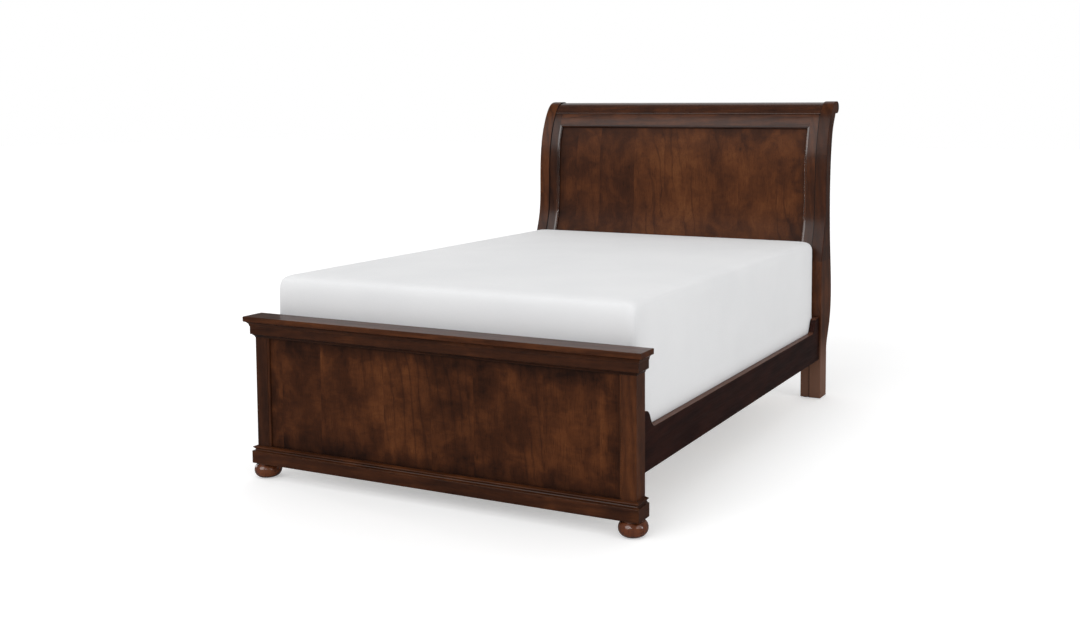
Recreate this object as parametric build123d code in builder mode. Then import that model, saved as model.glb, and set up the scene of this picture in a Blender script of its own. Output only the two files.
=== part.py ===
"""Sleigh bed: panelled footboard on bun feet, S-curved headboard with a rolled crest,
side rails on hook plates, slats with centre legs, a low foundation and a mattress.

Frame: X across the bed, +Y towards the headboard, +Z up from the floor, millimetres,
with the origin under the middle of the bed's box.
"""

import math
import os

from build123d import *

os.makedirs("parts", exist_ok=True)

# ---- what the bed holds -------------------------------------------------------------
mattress_width = 1524.0
mattress_length = 2032.0
mattress_thick = 436.0
mattress_corner = 60.0
mattress_edge = 38.0
side_gap = 8.0  # mattress to the inner face of a rail
end_gap = 12.5  # mattress to the footboard, and to the headboard's leg face
body_gap = 0.4  # between pieces that lift apart

# ---- side rails and ledges ----------------------------------------------------------
rail_thick = 28.0
rail_bottom = 196.0
rail_height = 144.0
ear_rise = 66.0  # end ears stand this far above the rail's top
ear_flat = 34.0
ear_run = 78.0  # length of the curve from the ear down to the rail's top
ear_lean = 0.5  # steepest part of that curve, along for each unit down
rail_edge = 2.0
cleat_size = 22.0
cleat_end_gap = 24.0
slat_thick = 19.0
slat_width = 90.0
slat_count = 5
slat_end_gap = 2.0
slat_end_margin = 150.0  # first and last slat centre from the mattress ends

# ---- footboard ----------------------------------------------------------------------
foot_reveal = 12.0  # post's outer face beyond the rail's outer face
foot_post_width = 56.0
foot_post_depth = 69.0
bun_height = 58.5
bun_radius = 51.6
bun_inset = 24.4  # bun's centre inside the post's outer face
bun_neck = 5.0
bun_top_radius = 40.0
bun_foot_radius = 34.0
bun_neck_step = 2.0
bun_widest = 0.48  # height of its widest place, as a share of its height
plinth_height = 45.8
plinth_thick = 15.5
base_mould_height = 21.6
base_mould_reach = 12.5
panel_zone_height = 423.5  # open face of the footboard between its mouldings
bed_mould_height = 13.0
bed_mould_reach = 8.0
frieze_height = 31.0
frieze_thick = 14.0
cap_mould_height = 19.0
cap_mould_reach = 29.0
cap_thick = 19.4
cap_overhang = 32.0
cap_edge = 2.0
mould_edge = 1.2
mould_fillet = 3.0  # small flat at the end of a cove
mould_step = 1.0
cap_mould_step = 2.0  # cap moulding stands this far out from the frieze's face
# Heights of the toe, cove, neck and lip of the base moulding, as shares of its own height.
base_mould_shares = (0.1, 0.2, 0.42, 0.68, 0.8, 0.88)
cove_sag = 2.2
lip_round = 2.0
lip_swell = 0.8
foot_rail_depth = 45.0
foot_panel_thick = 12.0
foot_panel_recess = 9.0
panel_groove = 9.0
panel_slip = 0.25  # panel to its groove, all round
bead_width = 8.0
bead_round = 5.6
arris = 1.5  # softened edges of sawn pieces

# ---- headboard ----------------------------------------------------------------------
head_reveal = 9.0
head_post_width = 58.0
head_leg_depth = 100.0
curve_start = 629.0  # height where the straight leg face turns into the S
scroll_radius = 30.0
scroll_back = 249.0  # scroll's centre behind the leg's front face
scroll_height = 1434.0
crest_lip = 6.0  # crest roll reaches this far below the scrolls
crest_drop = 5.0  # crest roll is this much smaller than the scrolls beside it
stile_width = 44.0
frame_recess = 4.0  # stiles and rails of the headboard behind the posts' faces
frame_thick = 30.0
head_panel_recess = 14.0
head_panel_thick = 6.0
head_groove = 8.0
head_top_rail_height = 57.0
head_bottom_rail_low = 300.0
head_bottom_rail_height = 120.0
head_mould_width = 15.0
head_mould_proud = 1.5
head_mould_round = 7.0
neck_inset = 28.0  # post's back meets the scroll's underside this far before its centre
neck_round = 8.0
neck_lean = 0.55  # how far the back leans forward below the neck, for each unit down
crest_edge = 4.0
post_arris = 2.5
leg_shoulder = 228.0  # back of the leg is straight below this
shoulder_radius = 120.0  # from the straight leg into the swell above it
shoulder_turn = 26.0  # degrees of that arc
shoulder_run = 70.0  # straight slope above the arc

# Where the S passes between the leg and the scroll, as shares of the set-back and of the rise.
face_shape = ((0.213, 0.265), (0.269, 0.504), (0.341, 0.744), (0.470, 0.8635), (0.727, 0.978))
back_shape = ((0.833, 0.9425), (0.710, 0.850), (0.624, 0.581), (0.688, 0.375), (0.787, 0.176))

# ---- hardware -----------------------------------------------------------------------
glide_thick = 3.0
glide_radius = 11.0
glide_pin_radius = 1.25
glide_pin_length = 12.0
bun_bolt_radius = 4.0
bun_bolt_length = 74.0
screw_radius = 2.0
screw_head_radius = 4.0
screw_head_depth = 2.6
screw_length = 38.0
hook_screw_length = 20.0
plate_thick = 2.5
plate_margin = 12.0  # rail above and below a hook plate
plate_width = 19.0
hook_thick = 3.0
hook_height = 18.0
hook_reach = 14.0
hook_lip = 6.0
hook_slot_gap = 0.6
hook_margin = 34.0  # from a plate's end to the middle of its hook
screw_margin = 12.0  # from a plate's end to its screw
leg_size = 45.0
leg_count = 3
leveller_disc_radius = 15.0
leveller_disc_thick = 8.0
leveller_stem_radius = 4.0
leveller_stem_length = 34.0
leveller_fit = 0.05
leveller_travel = 12.0
leveller_spare = 1.0  # hole beyond the stem, and half the disc's room, at the top of its travel
leg_floor_gap = leveller_disc_thick + leveller_travel + 2 * leveller_spare

# ---- worked out from the sizes above --------------------------------------------------
inside_half = mattress_width / 2 + side_gap
rail_outer = inside_half + rail_thick
foot_outer = rail_outer + foot_reveal
foot_inner = foot_outer - foot_post_width
head_outer = rail_outer + head_reveal
head_inner = head_outer - head_post_width
stile_inner = head_inner - stile_width
inside_length = mattress_length + 2 * end_gap

scroll_end = scroll_back + scroll_radius
overall_length = cap_overhang + foot_post_depth + inside_length + scroll_end
foot_front = -overall_length / 2 + cap_overhang
foot_back = foot_front + foot_post_depth
head_front = foot_back + inside_length

plinth_top = bun_height + plinth_height
panel_low = plinth_top + base_mould_height
panel_high = panel_low + panel_zone_height
frieze_low = panel_high + bed_mould_height
frieze_high = frieze_low + frieze_height
cap_low = frieze_high + cap_mould_height
cap_top = cap_low + cap_thick

rail_top = rail_bottom + rail_height
ear_top = rail_top + ear_rise
cleat_top = rail_bottom + cleat_size
slat_top = cleat_top + slat_thick
foundation_low = slat_top + body_gap
foundation_high = rail_top - body_gap
mattress_low = rail_top

crest_bottom = scroll_height - scroll_radius - crest_lip
head_rail_low = crest_bottom - head_top_rail_height
head_rail_high = head_bottom_rail_low + head_bottom_rail_height
slat_step = (mattress_length - 2 * slat_end_margin) / (slat_count - 1)
slat_first = (foot_back + head_front) / 2 - mattress_length / 2 + slat_end_margin
slat_places = [slat_first + number * slat_step for number in range(slat_count)]
slat_half = inside_half - slat_end_gap
cleat_middle_x = inside_half - cleat_size / 2
hook_middle = rail_bottom + rail_height / 2
plate_height = rail_height - 2 * plate_margin

bun_middle_x = foot_outer - bun_inset
bun_middle_y = (foot_front - plinth_thick + foot_back) / 2
rail_middle_x = inside_half + rail_thick / 2
sides = {"left": -1, "right": 1}
low_middle = (Align.CENTER, Align.CENTER, Align.MIN)


# ---- outlines -------------------------------------------------------------------------
def front_curve(shift, drop=0.0):
    """Leg face and S of the headboard, moved back by shift, from the floor to the top of the roll."""
    face = head_front + shift
    rise = scroll_height + scroll_radius - drop - curve_start
    straight = Line((face, glide_thick), (face, curve_start))
    curve = Spline(
        straight @ 1,
        *[(face + back * scroll_back, curve_start + up * rise) for back, up in face_shape],
        (face + scroll_back, curve_start + rise),
        tangents=((0, 1), (1, 0)),
    )
    return straight, curve


def scroll_outline(drop=0.0):
    """Whole side view of a headboard post, from its foot over the scroll and down its back."""
    front_curve(0, drop)
    radius = scroll_radius - drop
    middle = head_front + scroll_back
    leg_back = head_front + head_leg_depth
    bottom = (middle, scroll_height - radius)
    neck_back = scroll_back - neck_inset
    neck = (head_front + neck_back, scroll_height - radius)
    CenterArc((middle, scroll_height), radius, 90, -180)
    Line(bottom, neck)
    shoulder = CenterArc((leg_back + shoulder_radius, leg_shoulder), shoulder_radius, 180, -shoulder_turn)
    turn = math.radians(shoulder_turn)
    slope = Line(shoulder @ 1, shoulder @ 1 + Vector(math.sin(turn), math.cos(turn)) * shoulder_run)
    rise = neck[1] - (slope @ 1).Y
    Spline(
        neck,
        *[(head_front + back * neck_back, (slope @ 1).Y + up * rise) for back, up in back_shape],
        slope @ 1,
        tangents=((-neck_lean, -1), (-math.sin(turn), -math.cos(turn))),
        tangent_scalars=(1, 1),
    )
    Line((leg_back, leg_shoulder), (leg_back, glide_thick))
    Line((leg_back, glide_thick), (head_front, glide_thick))


def round_neck(sketch, drop=0.0):
    """Softens the corner where the scroll's underside meets the post's back."""
    neck = (head_front + scroll_back - neck_inset, scroll_height - scroll_radius + drop)
    fillet(sketch.vertices().sort_by_distance(neck)[0], radius=neck_round)


def band(near, far, low, high):
    """Side view of a curved layer between two copies of the headboard's face, cut at two heights."""
    with BuildLine() as outline:
        near_line, near_face = front_curve(near)
        far_line, far_face = front_curve(far)
        Line(near_line @ 0, far_line @ 0)
        Line(near_face @ 1, far_face @ 1)
    make_face(outline.edges())
    with Locations((head_front + scroll_back / 2, (low + high) / 2)):
        Rectangle(2 * overall_length, high - low, mode=Mode.INTERSECT)


def curved_bar(near, far, low, high, x_low, x_high, mode=Mode.ADD):
    """A curved layer of the headboard between two places across the bed."""
    with BuildSketch(Plane.YZ.offset(x_low)) as layer:
        band(near, far, low, high)
    extrude(layer.sketch, amount=x_high - x_low, mode=mode)


def edges_along_curve(edges, y, z):
    """The edges of a headboard piece that run up and down it and meet at one height."""
    return [
        edge
        for edge in edges
        if abs(edge.tangent_at(0.5).X) < 0.5
        and any(math.dist((end.Y, end.Z), (y, z)) < 0.1 for end in edge.vertices())
    ]


def bar(x_low, x_high, y_low, y_high, z_low, z_high, mode=Mode.ADD):
    """A straight bar between six faces."""
    with Locations(((x_low + x_high) / 2, (y_low + y_high) / 2, z_low)):
        Box(x_high - x_low, y_high - y_low, z_high - z_low, align=low_middle, mode=mode)


def screw(head_point, direction, length, mode=Mode.ADD):
    """A countersunk screw, or its hole, from the flat of its head along direction."""
    with Locations(Plane(origin=head_point, z_dir=direction)):
        Cone(screw_head_radius, screw_radius, screw_head_depth, align=low_middle, mode=mode)
        Cylinder(screw_radius, length, align=low_middle, mode=mode)


# ---- where the screws go ----------------------------------------------------------------
def cleat_screws(side):
    """Screws through a cleat into its rail, midway between the slats and near both ends."""
    ends = [slat_places[0] - slat_width, slat_places[-1] + slat_width]
    between = [place + slat_step / 2 for place in slat_places[:-1]]
    height = rail_bottom + cleat_size / 2
    inner = side * (inside_half - cleat_size)
    return [((inner, place, height), (side, 0, 0)) for place in ends + between]


def slat_screws(number):
    """Screws at the two ends of a slat, into the cleats."""
    place = slat_places[number]
    return [((side * cleat_middle_x, place, slat_top), (0, 0, -1)) for side in (-1, 1)]


def leg_screws(number):
    """Screws down through a slat into its centre leg."""
    place = slat_places[number]
    return [((side * leg_size / 4, place, slat_top), (0, 0, -1)) for side in (-1, 1)]


leg_slats = [round(number * (slat_count - 1) / (leg_count - 1)) for number in range(leg_count)]
joint_faces = ((foot_back, -1), (head_front, 1))  # where a rail ends, and which way its post lies


def plate_screws(face, way):
    """Screws of the plate on one side of a rail joint: way points into the wood that holds it."""
    heights = [hook_middle + end * (plate_height / 2 - screw_margin) for end in (-1, 1)]
    return [
        ((side * rail_middle_x, face, height), (0, way, 0))
        for side in (-1, 1)
        for height in heights
    ]


def plate_bar(side, face, way, mode=Mode.ADD):
    """A hook or keeper plate let into the wood on one side of a rail joint."""
    middle = side * rail_middle_x
    ends = sorted((face, face + way * plate_thick))
    low = hook_middle - plate_height / 2
    bar(middle - plate_width / 2, middle + plate_width / 2, *ends, low, low + plate_height, mode=mode)


hook_heights = [hook_middle + way * (plate_height / 2 - hook_margin) for way in (-1, 1)]


def post_joint(side, face, way):
    """Recess, hook mortises and screw holes for a keeper plate in a post."""
    plate_bar(side, face, way, mode=Mode.SUBTRACT)
    middle = side * rail_middle_x
    half = hook_thick / 2 + hook_slot_gap
    ends = sorted((face, face + way * (hook_reach + hook_slot_gap)))
    for height in hook_heights:
        low = height - hook_height / 2 - hook_lip - hook_slot_gap
        high = height + hook_height / 2 + hook_slot_gap
        bar(middle - half, middle + half, *ends, low, high, mode=Mode.SUBTRACT)
    for point, direction in plate_screws(face, way):
        if point[0] * side > 0:
            screw(point, direction, hook_screw_length, mode=Mode.SUBTRACT)


# ---- footboard: posts, panel and its rails ------------------------------------------------
panel_front = foot_front + foot_panel_recess
panel_back = panel_front + foot_panel_thick
groove_faces = (panel_front - panel_slip, panel_back + panel_slip)

for label, side in sides.items():
    inner, outer = sorted((side * foot_inner, side * foot_outer))
    with BuildPart() as foot_post:
        bar(inner, outer, foot_front, foot_back, bun_height, cap_low)
        fillet(foot_post.edges().filter_by(Axis.Z), radius=arris)
        groove = sorted((side * foot_inner, side * (foot_inner + panel_groove)))
        bar(*groove, *groove_faces, bun_height, cap_low, mode=Mode.SUBTRACT)
        post_joint(side, foot_back, -1)
        with Locations((side * bun_middle_x, bun_middle_y, bun_height)):
            Cylinder(bun_bolt_radius, bun_bolt_length / 2, align=low_middle, mode=Mode.SUBTRACT)
    foot_post.part.label = f"foot_post_{label}"
    export_step(foot_post.part, f"parts/{foot_post.part.label}.step")

with BuildPart() as foot_panel:
    half = foot_inner + panel_groove - panel_slip
    low = panel_low - panel_groove + panel_slip
    high = panel_high + panel_groove - panel_slip
    bar(-half, half, panel_front, panel_back, low, high)
foot_panel.part.label = "foot_panel"
export_step(foot_panel.part, f"parts/{foot_panel.part.label}.step")

with BuildPart() as foot_top_rail:
    bar(-foot_inner, foot_inner, foot_front, foot_front + foot_rail_depth, panel_high, cap_low)
    groove = (panel_high, panel_high + panel_groove)
    bar(-foot_inner, foot_inner, *groove_faces, *groove, mode=Mode.SUBTRACT)
foot_top_rail.part.label = "foot_top_rail"
export_step(foot_top_rail.part, f"parts/{foot_top_rail.part.label}.step")

with BuildPart() as foot_bottom_rail:
    bar(-foot_inner, foot_inner, foot_front, foot_front + foot_rail_depth, bun_height, panel_low)
    groove = (panel_low - panel_groove, panel_low)
    bar(-foot_inner, foot_inner, *groove_faces, *groove, mode=Mode.SUBTRACT)
foot_bottom_rail.part.label = "foot_bottom_rail"
export_step(foot_bottom_rail.part, f"parts/{foot_bottom_rail.part.label}.step")

for label, side in sides.items():
    with BuildPart() as panel_bead:
        ends = sorted((side * foot_inner, side * (foot_inner - bead_width)))
        bar(*ends, foot_front + arris, panel_front, panel_low, panel_high)
        nose = panel_bead.edges().filter_by(Axis.Z).sort_by(Axis.Y)[:2].sort_by(Axis.X)
        fillet(nose[0] if side > 0 else nose[-1], radius=bead_round)
    panel_bead.part.label = f"panel_bead_{label}"
    export_step(panel_bead.part, f"parts/{panel_bead.part.label}.step")


# ---- footboard: mouldings, mitred round the front corners ----------------------------------
def board_line(reach, low, high):
    Polyline((0, low), (reach, low), (reach, high), (0, high), close=True)


def plinth_line():
    board_line(plinth_thick, bun_height, plinth_top)


def frieze_line():
    board_line(frieze_thick, frieze_low, frieze_high)


def base_mould_line():
    """A cove that rises from the plinth's edge, then a rounded lip under the panel."""
    toe_top, cove_low, neck_height, lip_low, lip_middle, lip_high = (
        plinth_top + share * base_mould_height for share in base_mould_shares
    )
    toe = (plinth_thick, toe_top)
    neck = (base_mould_reach / 2, neck_height)
    lip = (base_mould_reach, lip_low)
    lip_top = (base_mould_reach - lip_round, lip_high)
    Polyline((0, plinth_top), (plinth_thick, plinth_top), toe)
    ThreePointArc(toe, ((toe[0] + neck[0]) / 2 - cove_sag, cove_low), neck)
    Line(neck, lip)
    ThreePointArc(lip, (base_mould_reach + lip_swell, lip_middle), lip_top)
    Polyline(lip_top, (0, panel_low), (0, plinth_top))


def bed_mould_line():
    """A cove from the panel's edge out to a small fillet under the frieze."""
    start = (mould_step, panel_high)
    end = (bed_mould_reach, frieze_low - mould_fillet)
    Line((0, panel_high), start)
    RadiusArc(start, end, bed_mould_height)
    Polyline(end, (bed_mould_reach, frieze_low), (0, frieze_low), (0, panel_high))


def cap_mould_line():
    """A cove from the frieze's edge out to the underside of the cap."""
    start = (frieze_thick + cap_mould_step, frieze_high + mould_fillet)
    end = (cap_mould_reach, cap_low - mould_step)
    Polyline((0, frieze_high), (start[0], frieze_high), start)
    RadiusArc(start, end, cap_mould_height)
    Polyline(end, (cap_mould_reach, cap_low), (0, cap_low), (0, frieze_high))


def ease(sketch, outline):
    """Rounds the outer corners of a moulding's flat boards."""
    if outline in (plinth_line, frieze_line):
        fillet(sketch.vertices().group_by(Axis.X)[-1], radius=mould_edge)


mouldings = {
    "plinth": plinth_line,
    "base_mould": base_mould_line,
    "bed_mould": bed_mould_line,
    "frieze": frieze_line,
    "cap_mould": cap_mould_line,
}
mitre = Plane(origin=(foot_outer, foot_front, 0), z_dir=(1, 1, 0))
other_mitre = Plane(origin=(-foot_outer, foot_front, 0), z_dir=(-1, 1, 0))
widest = foot_outer + cap_overhang
front_plane = Plane(origin=(widest, foot_front, 0), x_dir=(0, -1, 0), z_dir=(-1, 0, 0))
return_plane = Plane(origin=(foot_outer, foot_back, 0), x_dir=(1, 0, 0), z_dir=(0, -1, 0))

for label, outline in mouldings.items():
    with BuildPart() as mould_front:
        with BuildSketch(front_plane) as section:
            with BuildLine():
                outline()
            make_face()
            ease(section, outline)
        extrude(amount=2 * widest)
        split(bisect_by=mitre, keep=Keep.BOTTOM)
        split(bisect_by=other_mitre, keep=Keep.BOTTOM)
    mould_front.part.label = f"{label}_front"
    export_step(mould_front.part, f"parts/{mould_front.part.label}.step")

    with BuildPart() as mould_right:
        with BuildSketch(return_plane) as section:
            with BuildLine():
                outline()
            make_face()
            ease(section, outline)
        extrude(amount=foot_post_depth + cap_overhang)
        split(bisect_by=mitre, keep=Keep.TOP)
    mould_right.part.label = f"{label}_right"
    export_step(mould_right.part, f"parts/{mould_right.part.label}.step")

    with BuildPart() as mould_left:
        mirror(mould_right.part, about=Plane.YZ)
    mould_left.part.label = f"{label}_left"
    export_step(mould_left.part, f"parts/{mould_left.part.label}.step")

with BuildPart() as foot_cap:
    bar(-widest, widest, foot_front - cap_overhang, foot_back, cap_low, cap_top)
    fillet(foot_cap.faces().sort_by(Axis.Z)[-1].edges(), radius=cap_edge)
foot_cap.part.label = "foot_cap"
export_step(foot_cap.part, f"parts/{foot_cap.part.label}.step")

# ---- bun feet, their bolts and the glides ----------------------------------------------------
for label, side in sides.items():
    foot_plane = Plane(origin=(side * bun_middle_x, bun_middle_y, 0), x_dir=(1, 0, 0), z_dir=(0, -1, 0))
    with BuildPart() as bun_foot:
        with BuildSketch(foot_plane):
            with BuildLine():
                neck_low = bun_height - bun_neck
                neck_radius = bun_top_radius - bun_neck_step
                widest_height = glide_thick + (neck_low - glide_thick) * bun_widest
                Polyline((0, bun_height), (0, glide_thick), (bun_foot_radius, glide_thick))
                top = (bun_top_radius, neck_low)
                ThreePointArc((bun_foot_radius, glide_thick), (bun_radius, widest_height), top)
                Polyline(top, (neck_radius, neck_low), (neck_radius, bun_height), (0, bun_height))
            make_face()
        revolve(axis=Axis((side * bun_middle_x, bun_middle_y, 0), (0, 0, 1)))
        with Locations((side * bun_middle_x, bun_middle_y, bun_height - bun_bolt_length / 2)):
            Cylinder(bun_bolt_radius, bun_bolt_length, align=low_middle, mode=Mode.SUBTRACT)
        with Locations((side * bun_middle_x, bun_middle_y, 0)):
            Cylinder(glide_pin_radius, glide_thick + glide_pin_length, align=low_middle, mode=Mode.SUBTRACT)
    bun_foot.part.label = f"bun_foot_{label}"
    export_step(bun_foot.part, f"parts/{bun_foot.part.label}.step")

with BuildPart() as bun_bolts:
    bolt_low = bun_height - bun_bolt_length / 2
    with Locations(*[(side * bun_middle_x, bun_middle_y, bolt_low) for side in sides.values()]):
        Cylinder(bun_bolt_radius, bun_bolt_length, align=low_middle)
bun_bolts.part.label = "bun_bolts"
export_step(bun_bolts.part, f"parts/{bun_bolts.part.label}.step")

stile_middle_x = stile_inner + stile_width / 2
head_post_middle_x = head_inner + head_post_width / 2
glide_places = [
    place
    for side in (-1, 1)
    for place in (
        (side * bun_middle_x, bun_middle_y, 0),
        (side * head_post_middle_x, head_front + head_leg_depth / 2, 0),
        (side * stile_middle_x, head_front + frame_recess + frame_thick / 2, 0),
    )
]
with BuildPart() as floor_glides:
    with Locations(*glide_places):
        Cylinder(glide_radius, glide_thick, align=low_middle)
        Cylinder(glide_pin_radius, glide_thick + glide_pin_length, align=low_middle)
floor_glides.part.label = "floor_glides"
export_step(floor_glides.part, f"parts/{floor_glides.part.label}.step")

# ---- headboard --------------------------------------------------------------------------------
panel_near = head_panel_recess - panel_slip
panel_far = head_panel_recess + head_panel_thick + panel_slip
frame_far = frame_recess + frame_thick

for label, side in sides.items():
    with BuildPart() as head_post:
        with BuildSketch(Plane.YZ.offset(side * head_post_middle_x - head_post_width / 2)) as side_view:
            with BuildLine():
                scroll_outline()
            make_face()
            round_neck(side_view)
        extrude(amount=head_post_width)
        face_edges = edges_along_curve(head_post.edges(), head_front, curve_start)
        back_edges = edges_along_curve(head_post.edges(), head_front + head_leg_depth, leg_shoulder)
        fillet(face_edges + back_edges, radius=post_arris)
        post_joint(side, head_front, 1)
        with Locations((side * head_post_middle_x, head_front + head_leg_depth / 2, 0)):
            Cylinder(glide_pin_radius, glide_thick + glide_pin_length, align=low_middle, mode=Mode.SUBTRACT)
    head_post.part.label = f"head_post_{label}"
    export_step(head_post.part, f"parts/{head_post.part.label}.step")

    with BuildPart() as head_stile:
        ends = sorted((side * stile_inner, side * head_inner))
        groove = sorted((side * stile_inner, side * (stile_inner + head_groove)))
        curved_bar(frame_recess, frame_far, glide_thick, crest_bottom, *ends)
        curved_bar(panel_near, panel_far, glide_thick, crest_bottom, *groove, mode=Mode.SUBTRACT)
        with Locations((side * stile_middle_x, head_front + frame_recess + frame_thick / 2, 0)):
            Cylinder(glide_pin_radius, glide_thick + glide_pin_length, align=low_middle, mode=Mode.SUBTRACT)
    head_stile.part.label = f"head_stile_{label}"
    export_step(head_stile.part, f"parts/{head_stile.part.label}.step")

with BuildPart() as crest_roll:
    with BuildSketch(Plane.YZ.offset(-head_inner)) as side_view:
        with BuildLine():
            scroll_outline(crest_drop)
        make_face()
        round_neck(side_view, crest_drop)
        with Locations((head_front, crest_bottom)):
            upwards = (Align.CENTER, Align.MIN)
            Rectangle(2 * overall_length, crest_bottom, align=upwards, mode=Mode.INTERSECT)
    extrude(amount=2 * head_inner)
    front_low = crest_roll.edges().filter_by(Axis.X).group_by(Axis.Z)[0].sort_by(Axis.Y)[0]
    fillet(front_low, radius=crest_edge)
crest_roll.part.label = "crest_roll"
export_step(crest_roll.part, f"parts/{crest_roll.part.label}.step")

with BuildPart() as head_top_rail:
    curved_bar(frame_recess, frame_far, head_rail_low, crest_bottom, -stile_inner, stile_inner)
    groove = (head_rail_low, head_rail_low + head_groove)
    curved_bar(panel_near, panel_far, *groove, -stile_inner, stile_inner, mode=Mode.SUBTRACT)
head_top_rail.part.label = "head_top_rail"
export_step(head_top_rail.part, f"parts/{head_top_rail.part.label}.step")

with BuildPart() as head_bottom_rail:
    curved_bar(frame_recess, frame_far, head_bottom_rail_low, head_rail_high, -stile_inner, stile_inner)
    groove = (head_rail_high - head_groove, head_rail_high)
    curved_bar(panel_near, panel_far, *groove, -stile_inner, stile_inner, mode=Mode.SUBTRACT)
head_bottom_rail.part.label = "head_bottom_rail"
export_step(head_bottom_rail.part, f"parts/{head_bottom_rail.part.label}.step")

with BuildPart() as head_panel:
    half = stile_inner + head_groove - panel_slip
    low = head_rail_high - head_groove + panel_slip
    high = head_rail_low + head_groove - panel_slip
    curved_bar(head_panel_recess, head_panel_recess + head_panel_thick, low, high, -half, half)
head_panel.part.label = "head_panel"
export_step(head_panel.part, f"parts/{head_panel.part.label}.step")

mould_near = frame_recess - head_mould_proud
mould_inner = stile_inner - head_mould_width
top_corner = Plane(origin=(stile_inner, 0, head_rail_low), z_dir=(1, 0, -1))
low_corner = Plane(origin=(stile_inner, 0, head_rail_high), z_dir=(1, 0, 1))

with BuildPart() as side_mould:
    curved_bar(mould_near, head_panel_recess, head_rail_high, head_rail_low, mould_inner, stile_inner)
    inner_edges = side_mould.faces().sort_by(Axis.X)[0].edges()
    fillet(edges_along_curve(inner_edges, head_front + mould_near, curve_start), radius=head_mould_round)
    split(bisect_by=top_corner, keep=Keep.TOP)
    split(bisect_by=low_corner, keep=Keep.TOP)
side_mould.part.label = "head_mould_right"
export_step(side_mould.part, f"parts/{side_mould.part.label}.step")

with BuildPart() as other_mould:
    mirror(side_mould.part, about=Plane.YZ)
other_mould.part.label = "head_mould_left"
export_step(other_mould.part, f"parts/{other_mould.part.label}.step")

for label, low, corner, nose in (
    ("top", head_rail_low - head_mould_width, top_corner, 0),
    ("bottom", head_rail_high, low_corner, -1),
):
    with BuildPart() as cross_mould:
        high = low + head_mould_width
        curved_bar(mould_near, head_panel_recess, low, high, -stile_inner, stile_inner)
        front_edges = cross_mould.edges().filter_by(Axis.X).sort_by(Axis.Y)[:2].sort_by(Axis.Z)
        fillet(front_edges[nose], radius=head_mould_round)
        split(bisect_by=corner, keep=Keep.BOTTOM)
        normal = corner.z_dir
        opposite = Plane(origin=(-stile_inner, 0, corner.origin.Z), z_dir=(-normal.X, 0, normal.Z))
        split(bisect_by=opposite, keep=Keep.BOTTOM)
    cross_mould.part.label = f"head_mould_{label}"
    export_step(cross_mould.part, f"parts/{cross_mould.part.label}.step")


# ---- side rails, cleats and hook plates --------------------------------------------------------
def rail_outline():
    """Side view of a rail with an ear at each end."""
    Line((foot_back, rail_bottom), (head_front, rail_bottom))
    for end, way in joint_faces:
        flat = (end - way * ear_flat, ear_top)
        middle = (end - way * (ear_flat + ear_run / 2), (ear_top + rail_top) / 2)
        foot = (end - way * (ear_flat + ear_run), rail_top)
        Polyline((end, rail_bottom), (end, ear_top), flat)
        Spline(flat, middle, tangents=((-way, 0), (-way * ear_lean, -1)))
        Spline(middle, foot, tangents=((-way * ear_lean, -1), (-way, 0)))
    Line((foot_back + ear_flat + ear_run, rail_top), (head_front - ear_flat - ear_run, rail_top))


for label, side in sides.items():
    with BuildPart() as side_rail:
        with BuildSketch(Plane.YZ.offset(side * rail_middle_x - rail_thick / 2)):
            with BuildLine():
                rail_outline()
            make_face()
        extrude(amount=rail_thick)
        along = side_rail.edges().filter_by(Axis.Y)
        fillet(along.filter_by(lambda edge: edge.length > inside_length / 2), radius=rail_edge)
        for face, way in joint_faces:
            plate_bar(side, face, -way, mode=Mode.SUBTRACT)
            for point, direction in plate_screws(face, -way):
                if point[0] * side > 0:
                    screw(point, direction, hook_screw_length, mode=Mode.SUBTRACT)
        for point, direction in cleat_screws(side):
            screw(point, direction, screw_length, mode=Mode.SUBTRACT)
    side_rail.part.label = f"side_rail_{label}"
    export_step(side_rail.part, f"parts/{side_rail.part.label}.step")

    with BuildPart() as cleat:
        ends = sorted((side * inside_half, side * (inside_half - cleat_size)))
        bar(*ends, foot_back + cleat_end_gap, head_front - cleat_end_gap, rail_bottom, cleat_top)
        for point, direction in cleat_screws(side):
            screw(point, direction, screw_length, mode=Mode.SUBTRACT)
        for number in range(slat_count):
            for point, direction in slat_screws(number):
                if point[0] * side > 0:
                    screw(point, direction, screw_length, mode=Mode.SUBTRACT)
    cleat.part.label = f"cleat_{label}"
    export_step(cleat.part, f"parts/{cleat.part.label}.step")

with BuildPart() as rail_hooks:
    for side in (-1, 1):
        for face, way in joint_faces:
            plate_bar(side, face, -way)
            middle = side * rail_middle_x
            tip = face + way * hook_reach
            bend = face + way * (plate_thick + hook_slot_gap)
            for height in hook_heights:
                low = height - hook_height / 2
                half = hook_thick / 2
                bar(middle - half, middle + half, *sorted((face, tip)), low, low + hook_height)
                bar(middle - half, middle + half, *sorted((bend, tip)), low - hook_lip, low)
    for face, way in joint_faces:
        for point, direction in plate_screws(face, -way):
            screw(point, direction, hook_screw_length, mode=Mode.SUBTRACT)
rail_hooks.part.label = "rail_hooks"
export_step(rail_hooks.part, f"parts/{rail_hooks.part.label}.step")

with BuildPart() as keeper_plates:
    for side in (-1, 1):
        for face, way in joint_faces:
            plate_bar(side, face, way)
            middle = side * rail_middle_x
            half = hook_thick / 2 + hook_slot_gap
            ends = sorted((face, face + way * plate_thick))
            for height in hook_heights:
                low = height - hook_height / 2 - hook_lip - hook_slot_gap
                high = height + hook_height / 2 + hook_slot_gap
                bar(middle - half, middle + half, *ends, low, high, mode=Mode.SUBTRACT)
    for face, way in joint_faces:
        for point, direction in plate_screws(face, way):
            screw(point, direction, hook_screw_length, mode=Mode.SUBTRACT)
keeper_plates.part.label = "keeper_plates"
export_step(keeper_plates.part, f"parts/{keeper_plates.part.label}.step")

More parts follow.
